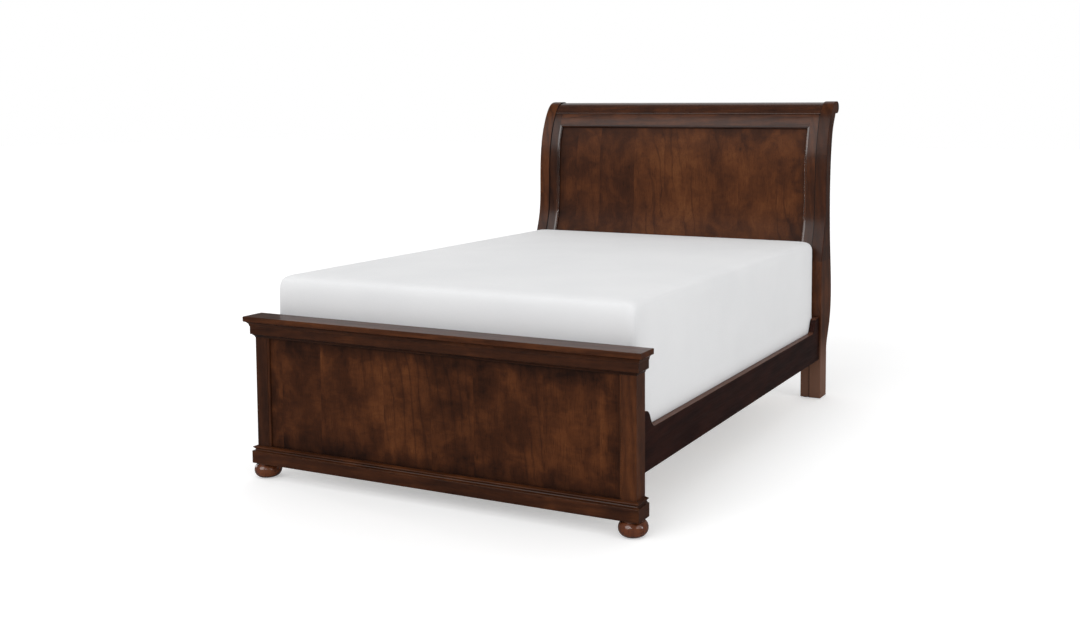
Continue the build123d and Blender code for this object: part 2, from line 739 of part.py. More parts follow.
with BuildPart() as plate_screw_set:
    for face, way in joint_faces:
        for point, direction in plate_screws(face, way) + plate_screws(face, -way):
            screw(point, direction, hook_screw_length)
plate_screw_set.part.label = "plate_screws"
export_step(plate_screw_set.part, f"parts/{plate_screw_set.part.label}.step")

# ---- slats, centre legs and levellers -------------------------------------------------------------
for number, place in enumerate(slat_places):
    with BuildPart() as slat:
        bar(-slat_half, slat_half, place - slat_width / 2, place + slat_width / 2, cleat_top, slat_top)
        fillet(slat.edges().filter_by(Axis.X), radius=arris)
        holes = slat_screws(number)
        if number in leg_slats:
            holes = holes + leg_screws(number)
        for point, direction in holes:
            screw(point, direction, screw_length, mode=Mode.SUBTRACT)
    slat.part.label = f"slat_{number + 1}"
    export_step(slat.part, f"parts/{slat.part.label}.step")

for order, number in enumerate(leg_slats):
    place = slat_places[number]
    with BuildPart() as center_leg:
        with Locations((0, place, leg_floor_gap)):
            Box(leg_size, leg_size, cleat_top - leg_floor_gap, align=low_middle)
            fillet(center_leg.edges().filter_by(Axis.Z), radius=arris)
            stem_top = leveller_disc_thick + leveller_stem_length
            stem_hole = stem_top + leveller_travel + leveller_spare - leg_floor_gap
            Cylinder(leveller_stem_radius + leveller_fit, stem_hole, align=low_middle, mode=Mode.SUBTRACT)
        for point, direction in leg_screws(number):
            screw(point, direction, screw_length, mode=Mode.SUBTRACT)
    center_leg.part.label = f"center_leg_{order + 1}"
    export_step(center_leg.part, f"parts/{center_leg.part.label}.step")

    with BuildPart() as leveller:
        with Locations((0, place, 0)):
            Cylinder(leveller_disc_radius, leveller_disc_thick, align=low_middle)
            fillet(leveller.edges().sort_by(Axis.Z)[-1], radius=arris)
            top = leveller_disc_thick + leveller_stem_length
            Cylinder(leveller_stem_radius, top, align=low_middle)
    leveller.part.label = f"leveller_{order + 1}"
    export_step(leveller.part, f"parts/{leveller.part.label}.step")

with BuildPart() as wood_screws:
    places = [spot for side in (-1, 1) for spot in cleat_screws(side)]
    places += [spot for number in range(slat_count) for spot in slat_screws(number)]
    places += [spot for number in leg_slats for spot in leg_screws(number)]
    for point, direction in places:
        screw(point, direction, screw_length)
wood_screws.part.label = "wood_screws"
export_step(wood_screws.part, f"parts/{wood_screws.part.label}.step")

# ---- foundation and mattress ------------------------------------------------------------------------
bed_middle_y = (foot_back + head_front) / 2
with BuildPart() as foundation:
    with Locations((0, bed_middle_y, foundation_low)):
        Box(mattress_width, mattress_length, foundation_high - foundation_low, align=low_middle)
    fillet(foundation.edges().filter_by(Axis.Z), radius=mattress_corner)
foundation.part.label = "foundation"
export_step(foundation.part, f"parts/{foundation.part.label}.step")

with BuildPart() as mattress:
    with Locations((0, bed_middle_y, mattress_low)):
        Box(mattress_width, mattress_length, mattress_thick, align=low_middle)
    fillet(mattress.edges().filter_by(Axis.Z), radius=mattress_corner)
    rims = mattress.faces().sort_by(Axis.Z)[-1].edges() + mattress.faces().sort_by(Axis.Z)[0].edges()
    fillet(rims, radius=mattress_edge)
mattress.part.label = "mattress"
export_step(mattress.part, f"parts/{mattress.part.label}.step")
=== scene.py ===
import math

import bmesh
import bpy
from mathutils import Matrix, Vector


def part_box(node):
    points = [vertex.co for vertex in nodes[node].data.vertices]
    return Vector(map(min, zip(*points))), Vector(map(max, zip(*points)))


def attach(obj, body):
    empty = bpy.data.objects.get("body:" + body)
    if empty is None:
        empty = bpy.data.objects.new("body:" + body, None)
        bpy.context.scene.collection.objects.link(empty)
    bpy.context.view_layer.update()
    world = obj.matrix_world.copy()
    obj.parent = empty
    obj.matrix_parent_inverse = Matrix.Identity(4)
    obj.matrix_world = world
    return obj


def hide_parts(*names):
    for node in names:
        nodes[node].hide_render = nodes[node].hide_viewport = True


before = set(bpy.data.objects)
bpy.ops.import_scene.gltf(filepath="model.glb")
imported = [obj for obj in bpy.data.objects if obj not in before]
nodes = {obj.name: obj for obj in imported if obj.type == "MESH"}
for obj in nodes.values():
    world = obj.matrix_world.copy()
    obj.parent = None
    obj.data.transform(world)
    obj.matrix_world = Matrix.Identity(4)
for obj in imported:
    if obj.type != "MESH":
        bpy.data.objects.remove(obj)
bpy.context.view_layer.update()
print("frame loaded,", len(nodes), "nodes")


# small helpers for node trees

def newTree(name):
    material = bpy.data.materials.new(name)
    material.use_nodes = True
    material.node_tree.nodes.clear()
    return material, material.node_tree


def add(tree, kind, inputs=None, **settings):
    node = tree.nodes.new(kind)
    for key, value in settings.items():
        setattr(node, key, value)
    for key, value in (inputs or {}).items():
        if isinstance(value, bpy.types.NodeSocket):
            tree.links.new(value, node.inputs[key])
        else:
            node.inputs[key].default_value = value
    return node


def calc(tree, operation, first, second=0.0, third=0.0):
    return add(tree, "ShaderNodeMath", {0: first, 1: second, 2: third}, operation=operation).outputs[0]


def weigh(tree, *pairs):  # sum of each value times its weight
    total = None
    for value, weight in pairs:
        part = calc(tree, "MULTIPLY", value, weight)
        total = part if total is None else calc(tree, "ADD", total, part)
    return total


def split(tree, vector):
    return add(tree, "ShaderNodeSeparateXYZ", {0: vector}).outputs


def stretch(tree, vector, scale):
    return add(tree, "ShaderNodeVectorMath", {0: vector, 1: scale}, operation="MULTIPLY").outputs[0]


def noise(tree, vector, scale, detail=2.0, rough=0.5, distortion=0.0, squeeze=None):
    if squeeze:
        vector = stretch(tree, vector, squeeze)
    return add(tree, "ShaderNodeTexNoise", {
        "Vector": vector, "Scale": scale, "Detail": detail, "Roughness": rough, "Distortion": distortion,
    }).outputs["Fac"]


def rings(tree, vector, squeeze, inputs):
    inputs = {"Vector": stretch(tree, vector, squeeze), **inputs}
    node = add(tree, "ShaderNodeTexWave", inputs, wave_type="RINGS", rings_direction="SPHERICAL")
    return node.outputs["Fac"]


def cells(tree, vector, scale):
    return add(tree, "ShaderNodeTexVoronoi", {"Vector": vector, "Scale": scale}).outputs


def openness(tree, distance):
    return add(tree, "ShaderNodeAmbientOcclusion", {"Distance": distance}, samples=4).outputs["AO"]


def ramp(tree, factor, stops):
    node = add(tree, "ShaderNodeValToRGB", {"Fac": factor})
    elements = node.color_ramp.elements
    while len(elements) < len(stops):
        elements.new(0.5)
    for element, (place, colour) in zip(elements, stops):
        element.position = place
        element.color = (*colour, 1.0)
    return node.outputs["Color"]


def spread(tree, value, low, high, newLow=0.0, newHigh=1.0):
    inputs = {"Value": value, "From Min": low, "From Max": high, "To Min": newLow, "To Max": newHigh}
    return add(tree, "ShaderNodeMapRange", inputs, interpolation_type="SMOOTHSTEP").outputs["Result"]


def blendColour(tree, factor, first, second, blend="MIX"):
    node = add(tree, "ShaderNodeMix", data_type="RGBA", blend_type=blend)
    for key, value in (("Factor", factor), ("A", first), ("B", second)):
        socket = [s for s in node.inputs if s.name == key and s.enabled][0]
        if isinstance(value, bpy.types.NodeSocket):
            tree.links.new(value, socket)
        else:
            socket.default_value = value
    return [s for s in node.outputs if s.enabled][0]


def solid(colour):
    return (*colour, 1.0)


def shade(tree, inputs):
    surface = add(tree, "ShaderNodeBsdfPrincipled", inputs)
    output = add(tree, "ShaderNodeOutputMaterial")
    tree.links.new(surface.outputs[0], output.inputs["Surface"])


def dress(obj, material):
    obj.data.materials.clear()
    obj.data.materials.append(material)


# stained cherry: one recipe, a dictionary for each finish

grainTurn = {"z": (0, 0, 0), "x": (0, math.radians(90), 0), "y": (math.radians(90), 0, 0)}

cherryBase = {
    "dark": (0.0165, 0.0052, 0.0025),
    "mid": (0.049, 0.0139, 0.0042),
    "warm": (0.094, 0.0275, 0.0072),
    "light": (0.150, 0.050, 0.0140),
    "wornHighlight": (0.190, 0.084, 0.0380),
    "mottle": 0.85,
    "broad": 0.45,
    "figure": 0.12,
    "streak": 0.14,
    "curl": 0.10,
    "cellTone": 0.30,
    "cellWide": 20.0,   # width of one leaf or board, metres
    "cellLong": 20.0,   # its length along the grain
    "lift": 0.0,        # shifts the whole tone
    "edgeDark": 0.0,
    "edgeReach": 0.09,
    "knots": 0.0,
    "lines": 0.35,      # thin dark growth lines
    "glazeShade": 0.55,      # dark glaze and painted shade in the quirks and corners
    "legPale": 0.0,     # paler near the floor
    "slope": 0.0,       # paler towards the right side
    "seam": 0.0,        # a dark joint line where two boards meet
    "paintedTopLight": 0.0,     # painted light on the faces that look up
    "rough": 0.30,
    "shine": 0.2,
    "coat": 0.25,
    "wearHighlight": 0.45,
    "bump": 0.35,
}

# noises of the recipe: a squeeze below one draws a noise out along that axis, and z is the grain
grainNoises = {
    "streak": {"scale": 150.0, "detail": 6.0, "rough": 0.65, "squeeze": (1.0, 1.0, 0.05)},
    "pore": {"scale": 520.0, "squeeze": (1.0, 1.0, 0.05)},
    "mottle": {"scale": 10.0, "detail": 5.0, "rough": 0.55, "distortion": 0.5, "squeeze": (1.0, 1.0, 0.95)},
    "curl": {"scale": 34.0, "detail": 3.0, "rough": 0.6, "distortion": 1.4, "squeeze": (0.35, 0.35, 1.0)},
    "linePatch": {"scale": 3.1, "squeeze": (1.0, 1.0, 0.3)},
}
broadNoise = {"scale": 4.2, "detail": 3.0, "distortion": 0.6, "squeeze": (1.0, 1.0, 0.7)}
wearHighlightNoise = {"scale": 55.0, "detail": 4.0, "rough": 0.6}
cherryRings = {"Scale": 9.0, "Distortion": 7.0, "Detail": 3.0, "Detail Scale": 1.3, "Detail Roughness": 0.55}
ringSqueeze = (1.0, 1.0, 0.22)

boardLook = {"swayWaves": 9.0, "swayReach": 0.035, "stagger": 0.37, "seedStep": 3.1, "jump": (1.7, 2.3, 2.9)}
knotLook = {
    "warpScale": 40.0, "warp": 0.05, "squeeze": (1.0, 0.2, 0.62), "scale": 7.0, "edge": (0.035, 0.115),
}
toneStops = (("dark", 0.12), ("mid", 0.45), ("warm", 0.68), ("light", 0.95))

glazeJointAndShadeColour = (0.006, 0.0032, 0.0022)
legColour = (0.205, 0.105, 0.070)
litTopColour = (0.150, 0.062, 0.036)

# where each effect starts and is complete
poreRange = (0.30, 0.46, 0.62, 1.0)
linePatchRange = (0.48, 0.62)
lineRange = (0.12, 0.01)
legRange = (0.36, 0.12)       # height above the floor, metres
arrisRange = (0.995, 0.86)    # dot product of the rounded normal and the flat one
wearHighlightRange = (0.35, 0.65)
glazeShadeRange = (0.85, 0.35)     # how open the spot is to its surroundings
seamRange = (0.0030, 0.0012)  # distance from the joint, metres
seamDark = 0.9
topRange = (0.7, 0.95)        # how far a face looks up
streakRange = (0.2, 0.8)

arrisRadius = 0.0022
glazeShadeReach = 0.014
glossSpread = (-0.05, 0.09)
reliefShares = {"streak": 0.5, "pore": 0.6}
reliefDepth = 0.0004
lacquerSockets = {"IOR": 1.45, "Coat Roughness": 0.16}


def boards(tree, turned, seed, wood):  # leaves and joined boards, each with its own figure and tone
    across, _, along = split(tree, turned)
    wave = calc(tree, "SINE", calc(tree, "MULTIPLY", across, boardLook["swayWaves"]))
    sway = calc(tree, "MULTIPLY", wave, boardLook["swayReach"])
    column = calc(tree, "ADD", across, sway)
    column = calc(tree, "FLOOR", calc(tree, "DIVIDE", column, wood["cellWide"]))
    offset = calc(tree, "MULTIPLY", column, boardLook["stagger"] * wood["cellLong"])
    row = calc(tree, "ADD", along, offset)
    row = calc(tree, "FLOOR", calc(tree, "DIVIDE", row, wood["cellLong"]))
    cell = add(tree, "ShaderNodeCombineXYZ", {0: column, 1: row, 2: seed * boardLook["seedStep"]})
    chance = add(tree, "ShaderNodeTexWhiteNoise", {"Vector": cell.outputs[0]}, noise_dimensions="3D").outputs
    jump = stretch(tree, chance["Color"], boardLook["jump"])
    moved = add(tree, "ShaderNodeVectorMath", {0: turned, 1: jump}, operation="ADD").outputs[0]
    return moved, chance["Value"]


def rimDarkening(tree, seen, box, mottle, wood):  # darker towards the edges of a panel
    low, high = box
    middle = (low + high) / 2
    half = (high - low) / 2
    gaps = []
    for axis in (0, 2):
        away = calc(tree, "ABSOLUTE", calc(tree, "SUBTRACT", seen[axis], middle[axis]))
        gaps.append(calc(tree, "SUBTRACT", half[axis], away))
    nearest = calc(tree, "MINIMUM", gaps[0], gaps[1])
    wavy = calc(tree, "MULTIPLY", calc(tree, "SUBTRACT", mottle, 0.5), wood["edgeReach"])
    nearest = calc(tree, "ADD", nearest, wavy)
    return spread(tree, nearest, 0.0, wood["edgeReach"], wood["edgeDark"], 0.0)


def pinKnots(tree, turned, wood):  # small dark pin knots and gum spots
    warped = calc(tree, "MULTIPLY", noise(tree, turned, knotLook["warpScale"]), knotLook["warp"])
    distance = cells(tree, stretch(tree, turned, knotLook["squeeze"]), knotLook["scale"])["Distance"]
    spot = calc(tree, "ADD", distance, warped)
    return spread(tree, spot, *knotLook["edge"], 1.0 - wood["knots"], 1.0)


def cherry(name, grain, box, shift, changes):
    wood = {**cherryBase, **changes}
    material, tree = newTree(name)
    place = add(tree, "ShaderNodeTexCoord").outputs["Object"]
    seen = split(tree, place)
    mapping = {"Vector": place, "Location": shift, "Rotation": grainTurn[grain]}
    turned = add(tree, "ShaderNodeMapping", mapping).outputs[0]
    grainPlace, chance = boards(tree, turned, shift[0], wood)

    # tone: every layer swings it about the middle by its own share
    layers = {key: noise(tree, grainPlace, **look) for key, look in grainNoises.items()}
    layers["broad"] = noise(tree, turned, **broadNoise)
    layers["figure"] = rings(tree, grainPlace, ringSqueeze, cherryRings)
    layers["cellTone"] = chance
    tone = calc(tree, "MULTIPLY_ADD", seen[0], wood["slope"], 0.5 + wood["lift"])
    for key in ("mottle", "broad", "figure", "streak", "curl", "cellTone"):
        part = calc(tree, "MULTIPLY", calc(tree, "SUBTRACT", layers[key], 0.5), wood[key])
        tone = calc(tree, "ADD", part, tone)
    if wood["edgeDark"]:
        tone = calc(tree, "SUBTRACT", tone, rimDarkening(tree, seen, box, layers["mottle"], wood))

    # colour, pores, growth lines and knots
    colour = ramp(tree, tone, [(stop, wood[key]) for key, stop in toneStops])
    colour = blendColour(tree, 1.0, colour, spread(tree, layers["pore"], *poreRange), "MULTIPLY")
    patch = spread(tree, layers["linePatch"], *linePatchRange, 0.0, wood["lines"])
    thin = calc(tree, "MULTIPLY", spread(tree, layers["figure"], *lineRange), patch)
    colour = blendColour(tree, thin, colour, solid(wood["dark"]))
    if wood["legPale"]:
        foot = spread(tree, seen[2], *legRange, 0.0, wood["legPale"])
        colour = blendColour(tree, foot, colour, solid(legColour))
    if wood["knots"]:
        colour = blendColour(tree, 1.0, colour, pinKnots(tree, turned, wood), "MULTIPLY")

    # finish rubbed through a little on the arrises with a painted highlight there, and dark glaze with
    # painted shade in the corners
    rounded = add(tree, "ShaderNodeBevel", {"Radius": arrisRadius}, samples=4).outputs[0]
    flat = add(tree, "ShaderNodeNewGeometry").outputs["Normal"]
    same = add(tree, "ShaderNodeVectorMath", {0: rounded, 1: flat}, operation="DOT_PRODUCT").outputs["Value"]
    # rubbed wear and a painted highlight: paler colour along the rounded edges
    arrisWearHighlight = spread(tree, same, *arrisRange, 0.0, wood["wearHighlight"])
    arrisWearHighlight = calc(tree, "MULTIPLY", arrisWearHighlight, spread(tree, noise(tree, place, **wearHighlightNoise), *wearHighlightRange))
    colour = blendColour(tree, arrisWearHighlight, colour, solid(wood["wornHighlight"]))
    # painted shade: colour goes dark where ambient occlusion finds quirks and corners, standing in for glaze
    # as well
    glazeShadeMask = spread(tree, openness(tree, glazeShadeReach), *glazeShadeRange, 0.0, wood["glazeShade"])
    colour = blendColour(tree, glazeShadeMask, colour, solid(glazeJointAndShadeColour))
    if wood["seam"]:
        away = calc(tree, "SUBTRACT", calc(tree, "ABSOLUTE", seen[0]), wood["seam"])
        seam = spread(tree, calc(tree, "ABSOLUTE", away), *seamRange, 0.0, seamDark)
        colour = blendColour(tree, seam, colour, solid(glazeJointAndShadeColour))
    # painted light: faces that look up are made paler, as if lit from above
    if wood["paintedTopLight"]:
        upward = spread(tree, split(tree, flat)[2], *topRange, 0.0, wood["paintedTopLight"])
        colour = blendColour(tree, upward, colour, solid(litTopColour))

    gloss = spread(tree, layers["streak"], *streakRange, *(wood["rough"] + change for change in glossSpread))
    height = weigh(tree, *((layers[key], share) for key, share in reliefShares.items()))
    relief = add(tree, "ShaderNodeBump", {
        "Strength": wood["bump"], "Distance": reliefDepth, "Height": height, "Normal": rounded,
    })
    shade(tree, {
        "Base Color": colour, "Roughness": gloss, "Normal": relief.outputs[0],
        "Specular IOR Level": wood["shine"], "Coat Weight": wood["coat"], **lacquerSockets,
    })
    return material


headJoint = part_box("head_stile_right")[1].x  # where post and stile meet

finishes = {
    "footVeneer": {
        "cellWide": 0.225, "cellTone": 0.12, "edgeDark": 0.24, "mottle": 0.85, "broad": 0.55,
        "figure": 0.04, "curl": 0.26, "streak": 0.10, "lift": 0.05, "rough": 0.44, "shine": 0.13,
        "coat": 0.02, "knots": 0.35, "lines": 0.35, "slope": 0.05,
    },
    "headVeneer": {
        "cellWide": 0.155, "cellTone": 0.16, "edgeDark": 0.18, "edgeReach": 0.11, "mottle": 0.75,
        "broad": 0.45,
        "figure": 0.04, "streak": 0.24, "lift": 0.10, "rough": 0.48, "shine": 0.14, "coat": 0.0,
        "knots": 0.6, "slope": 0.12,
    },
    "uprights": {"lift": -0.07, "streak": 0.22, "mottle": 0.5},
    "jointedUprights": {"cellLong": 0.26, "cellTone": 0.26, "lift": -0.02, "streak": 0.2, "mottle": 0.45,
                        "rough": 0.34, "coat": 0.08, "legPale": 0.9, "seam": headJoint},
    "stiles": {"lift": -0.05, "streak": 0.22, "mottle": 0.5, "legPale": 0.85, "seam": headJoint},
    "mouldUprights": {"lift": -0.04, "streak": 0.22, "mottle": 0.5, "rough": 0.17, "shine": 0.5,
                      "coat": 1.0},
    "crossPieces": {"lift": -0.13, "streak": 0.24, "mottle": 0.45, "figure": 0.10},
    "crest": {"lift": 0.02, "streak": 0.24, "mottle": 0.45, "figure": 0.10, "rough": 0.22, "shine": 0.4,
              "coat": 0.5},
    "capBoard": {"lift": 0.0, "streak": 0.3, "mottle": 0.3, "rough": 0.34, "coat": 0.14},
    "sideRails": {"lift": -0.14, "streak": 0.14, "mottle": 0.5, "rough": 0.38, "shine": 0.12, "coat": 0.0,
                  "bump": 0.12, "paintedTopLight": 0.7, "dark": (0.015, 0.0042, 0.0032),
                  "mid": (0.032, 0.0085, 0.0052)},
    "buns": {"lift": 0.10, "streak": 0.3, "mottle": 0.3, "rough": 0.10, "shine": 0.5, "coat": 1.0,
             "warm": (0.125, 0.034, 0.0120)},
}

sideMoulds = [part + side for part in ("plinth", "base_mould", "bed_mould", "frieze", "cap_mould")
              for side in ("_left", "_right")]

woodPieces = (
    ("footVeneer", "z", ("foot_panel",)),
    ("headVeneer", "z", ("head_panel",)),
    ("uprights", "z", ("foot_post_left", "foot_post_right", "panel_bead_left", "panel_bead_right")),
    ("stiles", "z", ("head_stile_left", "head_stile_right")),
    ("mouldUprights", "z", ("head_mould_left", "head_mould_right")),
    ("jointedUprights", "z", ("head_post_left", "head_post_right")),
    ("crossPieces", "x", ("plinth_front", "base_mould_front", "bed_mould_front", "frieze_front",
                          "cap_mould_front", "foot_top_rail", "foot_bottom_rail", "head_top_rail",
                          "head_bottom_rail", "head_mould_top", "head_mould_bottom")),
    ("crossPieces", "y", sideMoulds),
    ("crest", "x", ("crest_roll",)),
    ("capBoard", "x", ("foot_cap",)),
    ("sideRails", "y", ("side_rail_left", "side_rail_right")),
    ("buns", "z", ("bun_foot_left", "bun_foot_right")),
)

cherryStep = (1.37, 0.83, 2.11)  # moves each piece to its own part of the timber

count = 0
for finish, grain, names in woodPieces:
    for name in names:
        count += 1
        shift = tuple(step * count for step in cherryStep)
        dress(nodes[name], cherry("cherry_" + name, grain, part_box(name), shift, finishes[finish]))
print("cherry finishes on", count, "pieces")


# unfinished pine for the slats, cleats and centre legs

pineLook = {
    "stops": ((0.1, (0.50, 0.29, 0.13)), (0.5, (0.66, 0.47, 0.27)), (0.95, (0.74, 0.56, 0.36))),
    "knot": (0.20, 0.09, 0.04), "knotRange": (0.14, 0.07, 0.0, 0.85), "knotScale": 5.0,
    "knotSqueeze": (1.0, 1.0, 0.55), "ringSqueeze": (1.0, 1.0, 0.09), "ringShare": 0.7, "fibreShare": 0.4,
    "rings": {"Scale": 16.0, "Distortion": 4.0, "Detail": 2.0, "Detail Scale": 1.2},
    "fibre": {"scale": 260.0, "detail": 4.0, "rough": 0.6, "squeeze": (1.0, 1.0, 0.03)},
    "gloss": (0.2, 0.8, 0.55, 0.72), "relief": {"Strength": 0.4, "Distance": 0.0004}, "shine": 0.3,
    "step": (0.61, 0.43, 1.9), "start": (0.2, 0.0, 0.0),
}


def pine(name, grain, shift):
    look = pineLook
    material, tree = newTree(name)
    place = add(tree, "ShaderNodeTexCoord").outputs["Object"]
    mapping = {"Vector": place, "Location": shift, "Rotation": grainTurn[grain]}
    turned = add(tree, "ShaderNodeMapping", mapping).outputs[0]
    ring = rings(tree, turned, look["ringSqueeze"], look["rings"])
    fibre = noise(tree, turned, **look["fibre"])
    colour = ramp(tree, weigh(tree, (ring, look["ringShare"]), (fibre, look["fibreShare"])), look["stops"])
    distance = cells(tree, stretch(tree, turned, look["knotSqueeze"]), look["knotScale"])["Distance"]
    colour = blendColour(tree, spread(tree, distance, *look["knotRange"]), colour, solid(look["knot"]))
    relief = add(tree, "ShaderNodeBump", {**look["relief"], "Height": fibre})
    shade(tree, {
        "Base Color": colour, "Roughness": spread(tree, fibre, *look["gloss"]), "Normal": relief.outputs[0],
        "Specular IOR Level": look["shine"],
    })
    return material


pinePieces = {
    "x": [n for n in nodes if n.startswith("slat_")], "y": ["cleat_left", "cleat_right"],
    "z": [n for n in nodes if n.startswith("center_leg_")],
}
for grain, names in pinePieces.items():
    for number, name in enumerate(sorted(names)):
        shift = tuple(step * number + start for step, start in zip(pineLook["step"], pineLook["start"]))
        dress(nodes[name], pine("pine_" + name, grain, shift))
print("pine on the slats, cleats and centre legs")


# zinc plate with a fine spangle, and the black glides

zincLook = {
    "spangleScale": 420.0, "spangleShare": 0.3, "tarnishShare": 0.8,
    "tarnish": {"scale": 90.0, "detail": 4.0, "rough": 0.6},
    "stops": ((0.2, (0.36, 0.36, 0.34)), (0.6, (0.62, 0.62, 0.60)), (0.9, (0.74, 0.75, 0.76))),
    "scratch": {"scale": 900.0, "detail": 3.0, "rough": 0.6, "squeeze": (1.0, 0.08, 1.0)},
    "relief": {"Strength": 0.25, "Distance": 0.0002}, "gloss": (0.3, 0.7, 0.26, 0.44),
}


def zinc(name):
    look = zincLook
    material, tree = newTree(name)
    place = add(tree, "ShaderNodeTexCoord").outputs["Object"]
    spangle = cells(tree, place, look["spangleScale"])["Color"]
    tarnish = noise(tree, place, **look["tarnish"])
    tone = weigh(tree, (spangle, look["spangleShare"]), (tarnish, look["tarnishShare"]))
    relief = add(tree, "ShaderNodeBump", {**look["relief"], "Height": noise(tree, place, **look["scratch"])})
    shade(tree, {
        "Base Color": ramp(tree, tone, look["stops"]), "Metallic": 1.0,
        "Roughness": spread(tree, tarnish, *look["gloss"]), "Normal": relief.outputs[0],
    })
    return material


glideLook = {
    "speck": {"scale": 700.0, "detail": 3.0, "rough": 0.6},
    "stops": ((0.3, (0.030, 0.027, 0.025)), (0.7, (0.055, 0.050, 0.046))),
    "relief": {"Strength": 0.3, "Distance": 0.0002}, "gloss": (0.3, 0.7, 0.42, 0.6),
}


def glidePlastic(name):
    look = glideLook
    material, tree = newTree(name)
    place = add(tree, "ShaderNodeTexCoord").outputs["Object"]
    speck = noise(tree, place, **look["speck"])
    relief = add(tree, "ShaderNodeBump", {**look["relief"], "Height": speck})
    shade(tree, {
        "Base Color": ramp(tree, speck, look["stops"]), "Roughness": spread(tree, speck, *look["gloss"]),
        "Normal": relief.outputs[0],
    })
    return material


zincNodes = ["bun_bolts", "rail_hooks", "keeper_plates", "plate_screws", "wood_screws"]
zincNodes += [n for n in nodes if n.startswith("leveller")]
for name in zincNodes:
    dress(nodes[name], zinc("zinc_" + name))
dress(nodes["floor_glides"], glidePlastic("glide_plastic"))
print("hardware finished")


# cloth materials

clothBase = {
    "fuzz": {"scale": 900.0, "detail": 3.0, "rough": 0.6}, "soft": {"scale": 3.2, "detail": 3.0},
    "fuzzTone": 0.25, "stopSteps": (-0.3, 0.05, 0.4),
    "nearReach": 0.16, "nearRange": (0.9, 0.4),
    "loopHeight": 0.4, "fuzzHeight": 0.5, "fineDepth": 0.0006,
    "wideNoise": {"scale": 4.5}, "wideDepth": 0.012,
    "gloss": (0.3, 0.7, 0.78, 0.92), "shine": 0.2, "sheenRough": 0.5,
}


def clothMaterial(name, changes):
    look = {**clothBase, **changes}
    material, tree = newTree(name)
    place = add(tree, "ShaderNodeTexCoord").outputs["Object"]
    parts = split(tree, place)
    pitch = 2 * math.pi / look["pitch"]
    waves = []
    for axis, squeeze in ((0, 1.0), (1, look["lengthwise"]), (2, 1.0)):
        turn = calc(tree, "MULTIPLY", parts[axis], pitch * squeeze)
        waves.append(calc(tree, "SINE", turn))
    loops = calc(tree, "MULTIPLY", waves[0], waves[1])
    for first, second in ((1, 2), (0, 2)):
        loops = calc(tree, "ADD", loops, calc(tree, "MULTIPLY", waves[first], waves[second]))
    fuzz = noise(tree, place, **look["fuzz"])
    soft = noise(tree, place, **look["soft"])
    tone = weigh(tree, (soft, look["cloud"]), (fuzz, look["fuzzTone"]), (loops, look["contrast"]))
    middle = 0.5 * (look["cloud"] + look["fuzzTone"])
    paints = (look["shadow"], look["face"], look["bright"])
    stops = [(max(middle + step, 0.0), paint) for step, paint in zip(look["stopSteps"], paints)]
    colour = ramp(tree, tone, stops)

    # painted shade where the cloth comes close to the wood
    shadeNearWood = spread(tree, openness(tree, look["nearReach"]), *look["nearRange"], 0.0, look["shadeNearWood"])
    colour = blendColour(tree, shadeNearWood, colour, solid(look["shadow"]))
    height = weigh(tree, (loops, look["loopHeight"]), (fuzz, look["fuzzHeight"]))
    fine = add(tree, "ShaderNodeBump", {
        "Strength": look["bump"], "Distance": look["fineDepth"], "Height": height,
    })
    wide = add(tree, "ShaderNodeBump", {
        "Strength": look["dimple"], "Distance": look["wideDepth"],
        "Height": noise(tree, place, **look["wideNoise"]), "Normal": fine.outputs[0],
    })
    shade(tree, {
        "Base Color": colour, "Roughness": spread(tree, fuzz, *look["gloss"]), "Normal": wide.outputs[0],
        "Specular IOR Level": look["shine"],
        "Sheen Weight": look["sheen"], "Sheen Roughness": look["sheenRough"],
    })
    return material


knitLook = {
    "pitch": 0.0032, "lengthwise": 0.6, "contrast": 0.03, "bump": 0.35, "dimple": 0.02, "sheen": 0.15,
    "cloud": 0.12, "shadeNearWood": 0.95,
    "shadow": (0.66, 0.67, 0.685), "face": (0.84, 0.842, 0.848), "bright": (0.88, 0.88, 0.88),
}
wovenLook = {
    "pitch": 0.0042, "lengthwise": 1.0, "contrast": 0.08, "bump": 0.7, "dimple": 0.15, "sheen": 0.1,
    "cloud": 0.5, "shadeNearWood": 0.3,
    "shadow": (0.50, 0.51, 0.53), "face": (0.66, 0.67, 0.69), "bright": (0.76, 0.77, 0.78),
}


# mattress and foundation: a block slightly smaller than its space, swelled as a filled cloth cover

clothSolver = {"frames": 20, "quality": 3, "bending": 0.8}
bevelSteps = {"corner": 8, "rim": 6}
levelFace = 0.9     # a face this close to level belongs to the top or the bottom
pushPower = 5       # keeps the outward push near the edges
dropShare = 0.6     # downward share of the push


def addObject(name, data):
    obj = bpy.data.objects.new(name, data)
    bpy.context.scene.collection.objects.link(obj)
    return obj


def roundOff(mesh, edges, radius, steps):
    bmesh.ops.bevel(mesh, geom=edges, offset=radius, segments=steps, profile=0.5,
                    affect="EDGES", material=-1)


